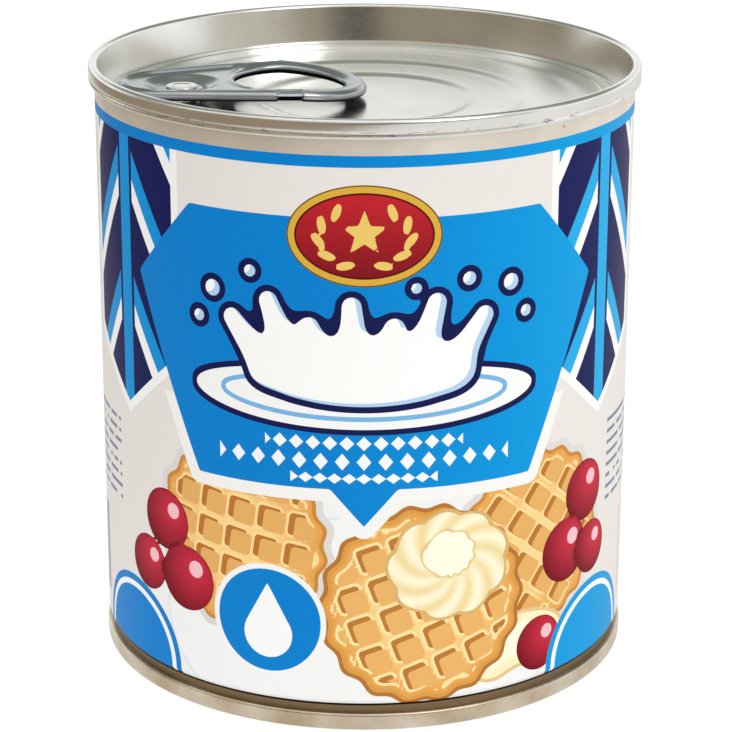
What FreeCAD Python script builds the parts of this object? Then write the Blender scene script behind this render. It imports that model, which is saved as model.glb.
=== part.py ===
import FreeCAD, Part
import math
import os
import Sketcher

# A sealed round food tin with an easy-open lid, in millimetres, +Z up.
# The origin is the centre of the circle that the tin stands on.
# can_body    the filled, welded cylinder, necked in at its foot, whose wall hooks into both seams
# top_end     the lid: rolled seam, chuck wall, countersink, score, stepped panel and its own rivet
# bottom_end  the base: rolled seam, chuck wall, countersink and stepped panel
# pull_tab    the ring-pull that the rivet holds down

# alias: (millimetres or degrees, what it is)
sizes = {
    "canHeight": (82.9, "overall height, seam to seam"),
    "bodyRadius": (36.65, "outside of the cylinder"),
    "wallThickness": (0.3, "body wall where it enters a seam"),
    "plateThickness": (0.35, "end plate under its countersink"),
    "seamWidth": (1.15, "a rolled seam, from its outside to its chuck wall"),
    "seamProud": (0.75, "how far a seam stands out from the wall it grips"),
    "seamHeight": (2.55, "top seam, measured down the wall"),
    "baseSeamHeight": (2.4, "bottom seam, measured up the wall"),
    "seamRound": (0.4, "radius of a seam's edges"),
    "hookGap": (0.8, "from a seam's outer end to the end of the body wall in it"),
    "neckIn": (0.6, "how much smaller the foot is, so that tins stack"),
    "neckTop": (4.3, "height where the neck starts"),
    "neckFoot": (3.4, "height where the neck ends"),
    "chuckTaper": (0.9, "how far a chuck wall leans in"),
    "panelDepth": (5.0, "lid's outer panel below its rim"),
    "basePanelDepth": (3.0, "base's outer panel above the ground"),
    "sinkDepth": (0.8, "countersink beyond the panel"),
    "sinkWidth": (1.0, "floor of the countersink"),
    "sinkRise": (0.3, "run of the slope from countersink to panel"),
    "sinkRound": (0.3, "radius of the countersink's corners"),
    "scoreInset": (2.1, "score line, in from the panel's edge"),
    "scoreWidth": (0.15, "half the width of the score line"),
    "scoreDepth": (0.12, "depth of the score line"),
    "beadInset": (4.6, "first step of the panel, in from its edge"),
    "beadPitch": (7.1, "from one step of the panel to the next"),
    "beadRun": (0.9, "slope of a step, seen from above"),
    "beadDrop": (0.3, "height of a step"),
    "rivetInset": (9.5, "rivet, in from the panel's edge"),
    "rivetAngle": (5.3, "degrees that the rivet lies round from -X"),
    "shoulderRadius": (2.7, "rivet's shoulder, which the tab rests on"),
    "shankRadius": (1.5, "rivet's shank, through the tab"),
    "shankClearance": (0.1, "round the shank, in the tab's hole"),
    "headRadius": (2.15, "rivet's head"),
    "headHeight": (0.3, "rivet's head above the tab's floor"),
    "headRound": (0.12, "radius of the head's edge"),
    "tabSeat": (4.2, "underside of the tab below the rim"),
    "tabTurn": (11.2, "degrees that the tab is turned from +X"),
    "tabThickness": (1.5, "height of the tab's curled edge"),
    "tabFloor": (0.35, "plate left under the rivet's dish"),
    "tabRound": (0.5, "radius of the curled edge"),
    "noseRadius": (7.0, "rounded nose that presses on the score"),
    "noseCentre": (1.9, "from the rivet back to the nose's centre"),
    "ringRadius": (10.5, "outside of the finger ring"),
    "ringCentre": (14.8, "from the rivet to the ring's centre"),
    "fingerRadius": (7.6, "finger hole"),
    "ringDrop": (1.2, "how much lower the far end of the strip is, past the ring"),
    "bendRadius": (15.0, "how gently the strip bends there"),
    "stripMargin": (1.0, "strip left round the tab before it is cut out"),
    "dishRadius": (5.2, "dish round the rivet, at the top"),
    "dishFloor": (3.5, "dish round the rivet, at its floor"),
    "holeRound": (0.35, "radius of the finger hole's edges"),
    "notchLength": (3.4, "gap in the curled edge where the ring bends"),
    "notchWidth": (0.7, "depth of that gap into the edge"),
    "notchHeight": (0.8, "height of that gap, from the underside"),
}

# heights and radii that several pieces share, written as sums of named sizes
hookTop = "canHeight - hookGap"
panelTop = "canHeight - panelDepth"
sinkFloor = panelTop + " - sinkDepth"
coreTop = sinkFloor + " - plateThickness"
rimOuter = "bodyRadius + seamProud"
rimInner = rimOuter + " - seamWidth"
chuckFoot = rimInner + " - chuckTaper"
panelEdge = chuckFoot + " - sinkWidth"
wallInner = "bodyRadius - wallThickness"
neckOuter = "bodyRadius - neckIn"
neckInner = neckOuter + " - wallThickness"
baseRimOuter = neckOuter + " + seamProud"
baseRimInner = baseRimOuter + " - seamWidth"
baseChuckFoot = baseRimInner + " - chuckTaper"
basePanelEdge = baseChuckFoot + " - sinkWidth"
baseSink = "basePanelDepth + sinkDepth"
coreFoot = baseSink + " + plateThickness"
seatLevel = "canHeight - tabSeat"
rivetReach = panelEdge + " - rivetInset"
noseTip = "0 - noseCentre - noseRadius"
ringEnd = "ringCentre + ringRadius"

doc = FreeCAD.newDocument("tin")
sheet = doc.addObject("Spreadsheet::Sheet", "Sizes")
for row, (alias, (value, meaning)) in enumerate(sizes.items(), start=1):
    sheet.set("A%d" % row, meaning)
    sheet.set("B%d" % row, str(value))
    sheet.setAlias("B%d" % row, alias)
doc.recompute()


def number(total):
    # the value of a sum such as "canHeight - 2 * beadDrop"
    words = total.replace("- ", "-").replace("+ ", "").replace(" * ", "*").split()
    result = 0.0
    for word in words:
        sign = -1.0 if word.startswith("-") else 1.0
        factor, _, alias = word.lstrip("-").rpartition("*")
        size = getattr(sheet, alias) if alias in sizes else float(alias)
        result += sign * float(factor or 1) * float(size)
    return result


def minus(total):
    # the same sum with every sign turned
    turned = {"+": "-", "-": "+"}
    return "0 - " + " ".join(turned.get(word, word) for word in total.split())


def bound(total):
    # the same sum, naming the sheet's cells
    return " ".join("Sizes." + word if word in sizes else word for word in total.split())


def bind(thing, path, total):
    thing.setExpression(path, bound(total))


def newBody(label):
    body = doc.addObject("PartDesign::Body", label)
    body.Label = label
    return body


def sketchOn(body, role, name, height=None, turn=None):
    # a sketch on one of the body's origin planes, raised and turned if asked
    plane = [f for f in body.Origin.OriginFeatures if f.Role == role][0]
    sketch = body.newObject("Sketcher::SketchObject", name)
    sketch.AttachmentSupport = [(plane, "")]
    sketch.MapMode = "FlatFace"
    if height:
        bind(sketch, "AttachmentOffset.Base.z", height)
    if turn:
        sketch.AttachmentOffset = FreeCAD.Placement(
            FreeCAD.Vector(), FreeCAD.Rotation(FreeCAD.Vector(0, 0, 1), number(turn)))
        bind(sketch, "AttachmentOffset.Rotation.Angle", turn)
    return sketch


def pin(sketch, edge, point, x, y):
    # holds one point of an edge at two named distances from the origin
    for kind, total in (("DistanceX", x), ("DistanceY", y)):
        index = sketch.addConstraint(Sketcher.Constraint(kind, edge, point, number(total)))
        bind(sketch, "Constraints[%d]" % index, total)


def drawPolygon(sketch, corners):
    # a closed outline of straight lines through named corners
    points = [FreeCAD.Vector(number(x), number(y), 0) for x, y in corners]
    ends = points[1:] + points[:1]
    edges = [sketch.addGeometry(Part.LineSegment(a, b), False) for a, b in zip(points, ends)]
    for edge, following, corner in zip(edges, edges[1:] + edges[:1], corners):
        sketch.addConstraint(Sketcher.Constraint("Coincident", edge, 2, following, 1))
        pin(sketch, edge, 1, *corner)


def drawCircle(sketch, x, y, radius):
    circle = Part.Circle(FreeCAD.Vector(number(x), number(y), 0),
                         FreeCAD.Vector(0, 0, 1), number(radius))
    edge = sketch.addGeometry(circle, False)
    pin(sketch, edge, 3, x, y)
    index = sketch.addConstraint(Sketcher.Constraint("Radius", edge, number(radius)))
    bind(sketch, "Constraints[%d]" % index, radius)


def revolve(body, name, corners):
    # a closed half profile in radius and height, turned once round the Z axis
    sketch = sketchOn(body, "XZ_Plane", name + "Profile")
    drawPolygon(sketch, corners)
    turned = body.newObject("PartDesign::Revolution", name)
    turned.Profile = sketch
    turned.ReferenceAxis = (sketch, ["V_Axis"])
    turned.Angle = 360.0
    doc.recompute()
    return turned


def pad(body, name, sketch, length):
    padded = body.newObject("PartDesign::Pad", name)
    padded.Profile = sketch
    bind(padded, "Length", length)
    doc.recompute()
    return padded


def pocket(body, name, sketch, length=None):
    # cuts upwards from the sketch by a length, or right through both ways
    cut = body.newObject("PartDesign::Pocket", name)
    cut.Profile = sketch
    cut.Reversed = True
    if length:
        bind(cut, "Length", length)
    else:
        cut.Type = 1
        cut.Midplane = True
    before = body.Shape.Volume
    doc.recompute()
    if body.Shape.Volume >= before:
        raise RuntimeError(name + " cuts nothing")
    return cut


def ringEdges(feature, rings):
    # names the circular edges of a turned shape that lie at given radii and heights
    found = []
    for total in rings:
        radius, height = number(total[0]), number(total[1])
        for index, edge in enumerate(feature.Shape.Edges, start=1):
            if not isinstance(edge.Curve, Part.Circle):
                continue
            centre = edge.Curve.Center
            onAxis = abs(centre.x) + abs(centre.y) < 1e-6
            if onAxis and abs(edge.Curve.Radius - radius) + abs(centre.z - height) < 1e-4:
                found.append("Edge%d" % index)
    return found


def roundEdges(body, name, feature, edges, radius):
    fillet = body.newObject("PartDesign::Fillet", name)
    fillet.Base = (feature, edges)
    bind(fillet, "Radius", radius)
    doc.recompute()
    return fillet


def steppedPanel(edge, level, down):
    # corners of a panel that steps three times towards the axis; down is "-" on the lid, "+" below
    corners = []
    for step in range(3):
        outside = edge + " - beadInset - %d * beadPitch" % step
        corners.append((outside, level + " %s %d * beadDrop" % (down, step)))
        corners.append((outside + " - beadRun", level + " %s %d * beadDrop" % (down, step + 1)))
    corners.append(("0", corners[-1][1]))
    return corners


def makeCanBody():
    body = newBody("can_body")
    revolve(body, "Cylinder", [
        ("0", coreFoot),
        (neckInner, coreFoot),
        (neckInner, "hookGap"),
        (neckOuter, "hookGap"),
        (neckOuter, "neckFoot"),
        ("bodyRadius", "neckTop"),
        ("bodyRadius", hookTop),
        (wallInner, hookTop),
        (wallInner, coreTop),
        ("0", coreTop),
    ])
    return body


def makeTopEnd():
    body = newBody("top_end")
    seamFoot = "canHeight - seamHeight"
    score = panelEdge + " - scoreInset"
    lid = revolve(body, "Lid", [
        ("0", coreTop),
        (wallInner, coreTop),
        (wallInner, hookTop),
        ("bodyRadius", hookTop),
        ("bodyRadius", seamFoot),
        (rimOuter, seamFoot),
        (rimOuter, "canHeight"),
        (rimInner, "canHeight"),
        (chuckFoot, sinkFloor),
        (panelEdge, sinkFloor),
        (panelEdge + " - sinkRise", panelTop),
        (score + " + scoreWidth", panelTop),
        (score, panelTop + " - scoreDepth"),
        (score + " - scoreWidth", panelTop),
    ] + steppedPanel(panelEdge, panelTop, "-"))
    seam = [(rimOuter, "canHeight"), (rimInner, "canHeight"), (rimOuter, seamFoot)]
    rolled = roundEdges(body, "RolledSeam", lid, ringEdges(lid, seam), "seamRound")
    sink = [(chuckFoot, sinkFloor), (panelEdge, sinkFloor)]
    roundEdges(body, "Countersink", rolled, ringEdges(rolled, sink), "sinkRound")
    # the rivet is drawn up from the lid itself: shoulder, shank, then a spread head
    stack = [("Shoulder", coreTop, seatLevel, "shoulderRadius"),
             ("Shank", seatLevel, seatLevel + " + tabFloor", "shankRadius"),
             ("Head", seatLevel + " + tabFloor", seatLevel + " + tabFloor + headHeight", "headRadius")]
    for name, low, high, radius in stack:
        sketch = sketchOn(body, "XY_Plane", name + "Circle", height=low, turn="rivetAngle")
        drawCircle(sketch, minus(rivetReach), "0", radius)
        pad(body, name, sketch, high + " + " + minus(low))
    top = number(stack[-1][2])
    rim = ["Edge%d" % i for i, e in enumerate(body.Shape.Edges, start=1)
           if isinstance(e.Curve, Part.Circle) and abs(e.Curve.Center.z - top) < 1e-4
           and abs(e.Curve.Radius - number("headRadius")) < 1e-4]
    roundEdges(body, "HeadEdge", body.Tip, rim, "headRound")
    return body


def makeBottomEnd():
    body = newBody("bottom_end")
    base = revolve(body, "Base", [
        ("0", coreFoot),
        (neckInner, coreFoot),
        (neckInner, "hookGap"),
        (neckOuter, "hookGap"),
        (neckOuter, "baseSeamHeight"),
        (baseRimOuter, "baseSeamHeight"),
        (baseRimOuter, "0"),
        (baseRimInner, "0"),
        (baseChuckFoot, baseSink),
        (basePanelEdge, baseSink),
        (basePanelEdge + " - sinkRise", "basePanelDepth"),
    ] + steppedPanel(basePanelEdge, "basePanelDepth", "+"))
    seam = [(baseRimOuter, "0"), (baseRimInner, "0"), (baseRimOuter, "baseSeamHeight")]
    rolled = roundEdges(body, "RolledSeam", base, ringEdges(base, seam), "seamRound")
    sink = [(baseChuckFoot, baseSink), (basePanelEdge, baseSink)]
    roundEdges(body, "Countersink", rolled, ringEdges(rolled, sink), "sinkRound")
    return body


def drawTabOutline(sketch):
    # the nose's arc and the ring's arc, joined by the two lines that touch both
    nose, ring = number("noseRadius"), number("ringRadius")
    noseX, ringX = number("0 - noseCentre"), number("ringCentre")
    lean = math.asin((ring - nose) / (ringX - noseX))
    up = FreeCAD.Vector(0, 0, 1)

    def arc(x, radius, start, end):
        circle = Part.Circle(FreeCAD.Vector(x, 0, 0), up, radius)
        return sketch.addGeometry(Part.ArcOfCircle(circle, start, end), False)

    def side(sign):
        across = FreeCAD.Vector(-math.sin(lean), sign * math.cos(lean), 0)
        ends = [FreeCAD.Vector(noseX, 0, 0) + across * nose, FreeCAD.Vector(ringX, 0, 0) + across * ring]
        return sketch.addGeometry(Part.LineSegment(*ends), False)

    touch = math.pi / 2 + lean
    noseArc = arc(noseX, nose, touch, 2 * math.pi - touch)
    ringArc = arc(ringX, ring, -touch, touch)
    left, right = side(1), side(-1)
    for edge, x, radius in ((noseArc, "0 - noseCentre", "noseRadius"), (ringArc, "ringCentre", "ringRadius")):
        pin(sketch, edge, 3, x, "0")
        index = sketch.addConstraint(Sketcher.Constraint("Radius", edge, number(radius)))
        bind(sketch, "Constraints[%d]" % index, radius)
    for line, arcEdge, lineEnd, arcEnd in ((left, noseArc, 1, 1), (right, noseArc, 1, 2),
                                           (right, ringArc, 2, 1), (left, ringArc, 2, 2)):
        sketch.addConstraint(Sketcher.Constraint("Tangent", line, lineEnd, arcEdge, arcEnd))


def longEdges(feature):
    # the edges that follow the tab's outline, without the bend's and the corners' straight ones
    found = []
    for index, edge in enumerate(feature.Shape.Edges, start=1):
        start, end = edge.Vertexes[0].Point, edge.Vertexes[-1].Point
        straight = isinstance(edge.Curve, Part.Line)
        if not straight or abs(end.x - start.x) > 1e-6:
            found.append("Edge%d" % index)
    return found


def holeEdges(feature):
    # the edges of the finger hole, above and below
    centre = number("ringCentre")
    found = []
    for index, edge in enumerate(feature.Shape.Edges, start=1):
        reach = [math.hypot(vertex.X - centre, vertex.Y) for vertex in edge.Vertexes]
        upright = isinstance(edge.Curve, Part.Line)
        if not upright and max(abs(r - number("fingerRadius")) for r in reach) < 1e-4:
            found.append("Edge%d" % index)
    return found


def makePullTab():
    body = newBody("pull_tab")
    # a strip with a soft bend where the finger ring starts
    strip = sketchOn(body, "XZ_Plane", "StripProfile")
    low, high = noseTip + " - stripMargin", ringEnd + " + stripMargin"
    drawPolygon(strip, [
        (low, "0"),
        ("ringCentre", "0"),
        (high, "0 - ringDrop"),
        (high, "tabThickness - ringDrop"),
        ("ringCentre", "tabThickness"),
        (low, "tabThickness"),
    ])
    flat = pad(body, "Strip", strip, "2 * ringRadius + 2 * stripMargin")
    flat.Midplane = True
    doc.recompute()
    folds = ["Edge%d" % index for index, edge in enumerate(flat.Shape.Edges, start=1)
             if all(abs(vertex.X - number("ringCentre")) < 1e-6 for vertex in edge.Vertexes)]
    roundEdges(body, "Bend", flat, folds, "bendRadius")
    # the tab is stamped out of the strip and its edge is curled
    outline = sketchOn(body, "XY_Plane", "Outline")
    left, right = low + " - stripMargin", high + " + stripMargin"
    across = "ringRadius + 2 * stripMargin"
    drawPolygon(outline, [(left, minus(across)), (right, minus(across)), (right, across), (left, across)])
    drawTabOutline(outline)
    stamped = pocket(body, "Stamping", outline)
    roundEdges(body, "CurledEdge", stamped, longEdges(stamped), "tabRound")
    finger = sketchOn(body, "XY_Plane", "FingerHoleCircle")
    drawCircle(finger, "ringCentre", "0", "fingerRadius")
    opened = pocket(body, "FingerHole", finger)
    roundEdges(body, "FingerHoleEdge", opened, holeEdges(opened), "holeRound")
    # the dish that the rivet's head sits in, and the hole for its shank
    dish = sketchOn(body, "XZ_Plane", "DishProfile")
    drawPolygon(dish, [("0", "tabFloor"), ("dishFloor", "tabFloor"),
                       ("dishRadius", "tabThickness"), ("0", "tabThickness")])
    sunk = body.newObject("PartDesign::Groove", "Dish")
    sunk.Profile = dish
    sunk.ReferenceAxis = (dish, ["V_Axis"])
    sunk.Angle = 360.0
    doc.recompute()
    shank = sketchOn(body, "XY_Plane", "ShankHoleCircle")
    drawCircle(shank, "0", "0", "shankRadius + shankClearance")
    pocket(body, "ShankHole", shank)
    # gaps in the curled edge, one each side, let the ring bend
    gaps = sketchOn(body, "XY_Plane", "NotchOutlines")
    start, stop = "ringCentre - notchLength", "ringCentre"
    inner = "ringRadius - notchWidth"
    drawPolygon(gaps, [(start, inner), (stop, inner), (stop, across), (start, across)])
    drawPolygon(gaps, [(start, minus(across)), (stop, minus(across)), (stop, minus(inner)), (start, minus(inner))])
    pocket(body, "Notches", gaps, "notchHeight")
    reach = bound(rivetReach)
    body.setExpression("Placement.Base.x", "-(%s) * cos(Sizes.rivetAngle * 1 deg)" % reach)
    body.setExpression("Placement.Base.y", "-(%s) * sin(Sizes.rivetAngle * 1 deg)" % reach)
    bind(body, "Placement.Base.z", seatLevel)
    body.Placement.Rotation = FreeCAD.Rotation(FreeCAD.Vector(0, 0, 1), number("tabTurn"))
    bind(body, "Placement.Rotation.Angle", "tabTurn")
    return body


bodies = [makeCanBody(), makeTopEnd(), makeBottomEnd(), makePullTab()]
doc.recompute()
for thing in doc.Objects:
    if "Invalid" in thing.State or "Error" in thing.State:
        raise RuntimeError(thing.Label + " failed to build")
for body in bodies:
    if body.Shape.isNull() or not body.Shape.isValid() or len(body.Shape.Solids) != 1:
        raise RuntimeError(body.Label + " is not one sound solid")
os.makedirs("parts", exist_ok=True)
for body in bodies:
    body.Shape.exportStep("parts/%s.step" % body.Label)
    print(body.Label, round(body.Shape.Volume, 1), body.Shape.BoundBox)
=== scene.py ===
import math
from functools import partial
import bpy
import numpy as np
from mathutils import Matrix, Vector
from numpy import hypot, maximum, minimum


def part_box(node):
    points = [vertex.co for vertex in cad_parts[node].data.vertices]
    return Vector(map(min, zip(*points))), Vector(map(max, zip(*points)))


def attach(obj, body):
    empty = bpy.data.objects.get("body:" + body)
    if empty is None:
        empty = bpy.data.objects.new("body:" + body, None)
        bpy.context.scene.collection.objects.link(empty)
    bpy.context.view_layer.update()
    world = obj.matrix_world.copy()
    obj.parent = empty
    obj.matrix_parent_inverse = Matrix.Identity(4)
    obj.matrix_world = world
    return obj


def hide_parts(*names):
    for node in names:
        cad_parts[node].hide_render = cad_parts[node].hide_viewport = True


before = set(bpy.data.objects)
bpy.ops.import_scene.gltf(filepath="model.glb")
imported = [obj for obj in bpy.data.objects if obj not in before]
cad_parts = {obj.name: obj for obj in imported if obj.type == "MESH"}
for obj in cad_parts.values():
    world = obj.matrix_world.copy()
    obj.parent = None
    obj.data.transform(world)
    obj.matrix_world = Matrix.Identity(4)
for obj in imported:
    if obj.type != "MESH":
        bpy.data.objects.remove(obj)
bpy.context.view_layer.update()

# A sealed tin of condensed milk: printed body, two rolled seams, a stepped lid and its ring-pull.
# Lengths in the dictionaries are millimetres, +Z up, and the label's front faces -Y.
mm = 0.001


def hexColour(code):
    # sRGB hex to linear light
    channels = [int(code[i:i + 2], 16) / 255 for i in (1, 3, 5)]
    linear = [c / 12.92 if c <= 0.04045 else ((c + 0.055) / 1.055) ** 2.4 for c in channels]
    return (*linear, 1.0)


def addNode(tree, kind, inputs=None, output=None, **settings):
    # a node with its settings, or one output of it; an input takes either a value or the socket that feeds it
    node = tree.nodes.new("ShaderNode" + kind)
    for key, value in settings.items():
        setattr(node, key, value)
    for key, value in (inputs or {}).items():
        if isinstance(value, bpy.types.NodeSocket):
            tree.links.new(value, node.inputs[key])
        else:
            node.inputs[key].default_value = value
    return node if output is None else node.outputs[output]


def newMaterial(name):
    # a material with an empty node tree
    material = bpy.data.materials.new(name)
    material.use_nodes = True
    material.node_tree.nodes.clear()
    return material, material.node_tree


def buildMesh(name, points, quads, tris=(), sharpAngle=40):
    # points in millimetres; quads and tris are index arrays; smooth except where it turns sharply
    mesh = bpy.data.meshes.new(name)
    faces = np.asarray(quads).tolist() + [list(t) for t in tris]
    mesh.from_pydata((np.asarray(points) * mm).tolist(), [], faces)
    mesh.polygons.foreach_set("use_smooth", np.ones(len(faces), bool))
    mesh.set_sharp_from_angle(angle=math.radians(sharpAngle))
    mesh.update()
    piece = bpy.data.objects.new(name, mesh)
    bpy.context.scene.collection.objects.link(piece)
    return piece


def gridQuads(rows, columns, wrapRows=False, start=0):
    # faces of a grid that closes on itself along its columns, and along its rows if asked
    i = np.arange(rows if wrapRows else rows - 1)[:, None]
    j = np.arange(columns)[None, :]
    up, across = (i + 1) % rows, (j + 1) % columns
    corners = [i * columns + j, i * columns + across, up * columns + across, up * columns + j]
    return np.stack([np.broadcast_to(c, (len(i), columns)) for c in corners], -1).reshape(-1, 4) + start


def turnProfile(radius, height, angles, start=0):
    # a profile from axis to axis turned about Z: x = r sin a, y = -r cos a, with one point at each pole
    r, z = np.asarray(radius)[1:-1, None], np.asarray(height)[1:-1, None]
    a = np.asarray(angles)[None, :]
    ring = np.stack([r * np.sin(a), -r * np.cos(a), z + 0 * a], -1).reshape(-1, 3)
    poles = np.array([[0, 0, height[0]], [0, 0, height[-1]]])
    rows, columns = len(radius) - 2, len(angles)
    quads = gridQuads(rows, columns, start=start)
    low, high = start + rows * columns, start + rows * columns + 1
    j = np.arange(columns)
    across = (j + 1) % columns
    last = start + (rows - 1) * columns
    tris = np.concatenate([np.stack([np.full(columns, low), start + across, start + j], -1),
                           np.stack([np.full(columns, high), last + j, last + across], -1)])
    return np.concatenate([ring, poles]), quads, tris


def roundedProfile(corners, arcStep=12.0, fewest=6):
    # corners are (radius, height, rounding); each rounding is an arc that touches both its sides
    path = []
    for k, (r, z, fillet) in enumerate(corners):
        here = np.array([r, z], float)
        if fillet <= 0 or k in (0, len(corners) - 1):
            path.append(here)
            continue
        back = np.array(corners[k - 1][:2], float) - here
        ahead = np.array(corners[k + 1][:2], float) - here
        back, ahead = back / np.linalg.norm(back), ahead / np.linalg.norm(ahead)
        half = math.acos(np.clip(back @ ahead, -1, 1)) / 2
        middle = back + ahead
        centre = here + middle / np.linalg.norm(middle) * fillet / math.sin(half)
        first, last = here + back * fillet / math.tan(half), here + ahead * fillet / math.tan(half)
        a0 = math.atan2(*(first - centre)[::-1])
        a1 = math.atan2(*(last - centre)[::-1])
        sweep = (a1 - a0 + math.pi) % (2 * math.pi) - math.pi
        steps = max(fewest, int(abs(math.degrees(sweep)) / arcStep) + 1)
        for a in np.linspace(a0, a0 + sweep, steps):
            path.append(centre + fillet * np.array([math.cos(a), math.sin(a)]))
    path = np.array(path)
    return path[:, 0], path[:, 1]


def joinPatches(patches):
    # several (points, quads, tris) with their own indices made into one
    points, quads, tris, count = [], [], [], 0
    for p, q, t in patches:
        points.append(p)
        quads.append(q + count)
        tris.append(t + count)
        count += len(p)
    return np.concatenate(points), np.concatenate(quads), np.concatenate(tris)


def smoothStep(low, high, x):
    # three t squared less two t cubed, where t is how far x lies from low to high
    t = np.clip((x - low) / (high - low), 0, 1)
    return t * t * (3 - 2 * t)


# The printed design: every field is a distance in mm to a shape's edge, positive inside.
def disc(u, v, cu, cv, radius):
    # the radius less the distance from the centre
    return radius - hypot(u - cu, v - cv)


def oval(u, v, cu, cv, wide, tall, turn=0.0):
    # one minus the scaled radius, divided by that radius' slope, is close to the distance
    x = (u - cu) * math.cos(turn) + (v - cv) * math.sin(turn)
    y = (v - cv) * math.cos(turn) - (u - cu) * math.sin(turn)
    k = hypot(x / wide, y / tall) + 1e-6
    return (1 - k) * k / (hypot(x / wide ** 2, y / tall ** 2) + 1e-6)


def polygon(u, v, corners):
    # the nearest side gives the distance; inside, a level line crosses the sides an odd number of times
    reach = np.full(u.shape, 1e3)
    inside = np.zeros(u.shape, bool)
    for (x0, y0), (x1, y1) in zip(corners, corners[1:] + corners[:1]):
        dx, dy = x1 - x0, y1 - y0
        along = np.clip(((u - x0) * dx + (v - y0) * dy) / (dx * dx + dy * dy), 0, 1)
        reach = minimum(reach, hypot(u - x0 - along * dx, v - y0 - along * dy))
        if y0 != y1:
            inside ^= ((y0 > v) != (y1 > v)) & (u < dx * (v - y0) / (y1 - y0) + x0)
    return np.where(inside, reach, -reach)


def taper(u, v, foot, head, footRadius, headRadius):
    # a finger whose radius changes evenly from foot to head
    dx, dy = head[0] - foot[0], head[1] - foot[1]
    along = np.clip(((u - foot[0]) * dx + (v - foot[1]) * dy) / (dx * dx + dy * dy), 0, 1)
    radius = footRadius + (headRadius - footRadius) * along
    return radius - hypot(u - foot[0] - along * dx, v - foot[1] - along * dy)


def melt(a, b, soft):
    # union of two shapes with a fillet: the larger field, and more where the two are nearly equal
    mix = maximum(soft - np.abs(a - b), 0) / soft
    return maximum(a, b) + mix * mix * soft / 4


def milkDrop(u, v, cu, cv, radius, tall):
    # a disc and the two straight flanks that touch it and meet above it
    lean = math.asin(radius / tall)
    side, low = radius * math.cos(lean), cv + radius * math.sin(lean)
    flanks = polygon(u, v, [(cu - side, low), (cu + side, low), (cu, cv + tall)])
    return maximum(disc(u, v, cu, cv, radius), flanks)


def milkCrown(u, v):
    # the splash: a low bowl of milk, fingers that lean outwards, and loose drops
    field = oval(u, v, *design["bowl"])
    for x, y in design["fingers"]:
        field = melt(field, taper(u, v, (x * 0.74, 50.4), (x, y - 1.3), 2.1, 1.25), 2.6)
    for spot in design["drops"]:
        field = maximum(field, disc(u, v, *spot))
    return field


def waffle(u, v, cu, cv, radius, turn, pitch):
    # a round waffle: its scalloped rim, its square pockets with rounded corners, and their lit floors, moved aside
    x = (u - cu) * math.cos(turn) + (v - cv) * math.sin(turn)
    y = (v - cv) * math.cos(turn) - (u - cu) * math.sin(turn)

    def pockets(px, py):
        px, py = (px + pitch / 2) % pitch - pitch / 2, (py + pitch / 2) % pitch - pitch / 2
        half, corner = pitch * 0.36, pitch * 0.10
        qx, qy = np.abs(px) - half + corner, np.abs(py) - half + corner
        return corner - hypot(maximum(qx, 0), maximum(qy, 0)) - minimum(maximum(qx, qy), 0)

    rim = radius + 0.35 * np.cos(18 * np.arctan2(y, x)) - hypot(u - cu, v - cv)
    asideX = 0.5 * math.sin(turn) - 0.75 * math.cos(turn)
    asideY = 0.5 * math.cos(turn) + 0.75 * math.sin(turn)
    return rim, minimum(pockets(x, y), rim - 1.5), minimum(pockets(x + asideX, y + asideY), rim - 1.5)


design = {   # mm on the label: u runs round the can from the middle of its front, v is the height
    "fieldCorners": [(24.0, 70.2), (34.0, 59.3), (23.0, 34.1), (4.4, 34.1)], "fieldTip": 29.0,
    "columnCentre": 37.6, "columnHalf": 10.4, "columnLow": 40.0, "columnTop": 82.0, "stripePitch": 17.0,
    "domeRadius": 10.6, "domeLow": 4.2, "dish": (0.5, 13.5, 34.5, 21.5),
    "frontWaffle": (8.2, 17.6, 13.4, 0.35, 4.5), "leftWaffle": (-17.5, 25.8, 12.6, -0.15, 4.3),
    "rightWaffle": (25.2, 24.2, 12.4, 0.9, 4.3),
    "cream": (11.5, 23.0), "roundel": (-12.9, 14.9, 8.0), "medal": (0.0, 67.9, 9.9, 6.6),
    "berries": [(-29.5, 25.6, 4.3), (-33.6, 18.2, 3.9), (-25.6, 18.2, 4.6), (34.6, 28.4, 4.3),
                (30.4, 21.0, 4.5), (36.6, 19.6, 3.8), (25.6, 8.9, 3.9)],
    "bowl": (0.0, 49.6, 14.2, 4.2), "pool": (0.0, 46.6, 23.2, 4.3), "ripple": (0.0, 46.7, 19.0, 3.0),
    "fingers": [(-17.5, 57.4), (-12.4, 60.2), (-7.0, 57.2), (-1.6, 60.0), (3.8, 57.2), (9.3, 60.3), (15.8, 58.0)],
    "drops": [(-20.4, 59.6, 1.1), (-14.9, 62.6, 0.8), (6.6, 61.0, 0.7), (13.6, 61.8, 0.9),
              (19.6, 60.6, 1.1), (22.0, 56.4, 0.8), (-22.6, 55.6, 0.8)],
    "lozengeRows": [(40.4, 13.0, 2.2, 0.95), (37.9, 19.6, 2.8, 1.15), (35.6, 9.6, 1.9, 0.7)], "lozengeHalf": 0.95,
    "dashRows": 0.62, "dashWords": 1.15, "barsPerMm": 2.4,
    "topStripe": (76.7, 78.2), "footLine": (3.35, 3.75), "weldMargin": 2.4, "weldLine": 0.45,
}


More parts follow.
